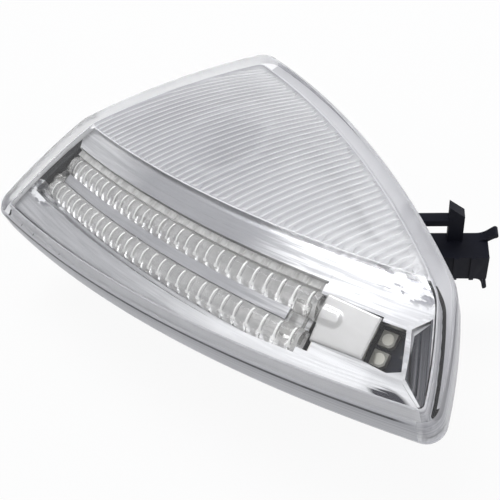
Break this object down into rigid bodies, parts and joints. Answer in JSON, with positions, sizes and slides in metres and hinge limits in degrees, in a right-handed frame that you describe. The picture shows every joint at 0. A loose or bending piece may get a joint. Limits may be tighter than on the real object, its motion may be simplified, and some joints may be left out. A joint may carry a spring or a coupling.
{
  "type": "vehicle indicator lamp",
  "caption": "Folded clear lens over arched light guides, side LEDs and a puddle lamp, with a black rear housing, threaded bosses and a plug connector.",
  "frame": {"origin": "under the middle of the lens outline, in the plane of the mounting bosses' ends", "axes": "+Z out of the lens, +X along the long side toward the LED end, +Y toward the pointed upper corner"},
  "size_m": [0.18, 0.0998, 0.05],
  "materials": {
    "clear_lens": "clear moulded plastic",
    "silver_bezel": "satin silver",
    "guide": "clear moulded plastic",
    "satin_plate": "satin",
    "board": "solder resist",
    "led_body": "moulded",
    "phosphor": "silicone",
    "black_plastic": "fine grain",
    "seal": "cured adhesive",
    "chip": "moulded",
    "steel": "plated",
    "bright_bowl": "vacuum metallised",
    "bulb_glass": "clear",
    "holder_plastic": "moulded",
    "contact_brass": "bright",
    "wire_cover": "extruded",
    "vent": "moulded"
  },
  "bodies": {
    "root": {"outer_lens": "clear_lens", "reflector_bezel": "silver_bezel", "light_guide": "guide", "led_cover_plate": "satin_plate", "led_board": "board", "side_leds": "led_body", "led_phosphors": "phosphor", "rear_housing": "black_plastic", "connector_shroud": "black_plastic", "lens_seal": "seal", "guide_leds": "led_body", "board_resistors": "chip", "driver_chip": "chip", "board_screws": "steel", "puddle_reflector": "bright_bowl", "puddle_bulb": "bulb_glass", "bulb_filament": "steel", "bulb_holder": "holder_plastic", "bulb_contacts": "contact_brass", "holder_gasket": "seal", "connector_pins": "contact_brass", "feed_wires": "wire_cover", "vent_plug": "vent", "mounting_inserts": "contact_brass"}
  },
  "joints": []
}
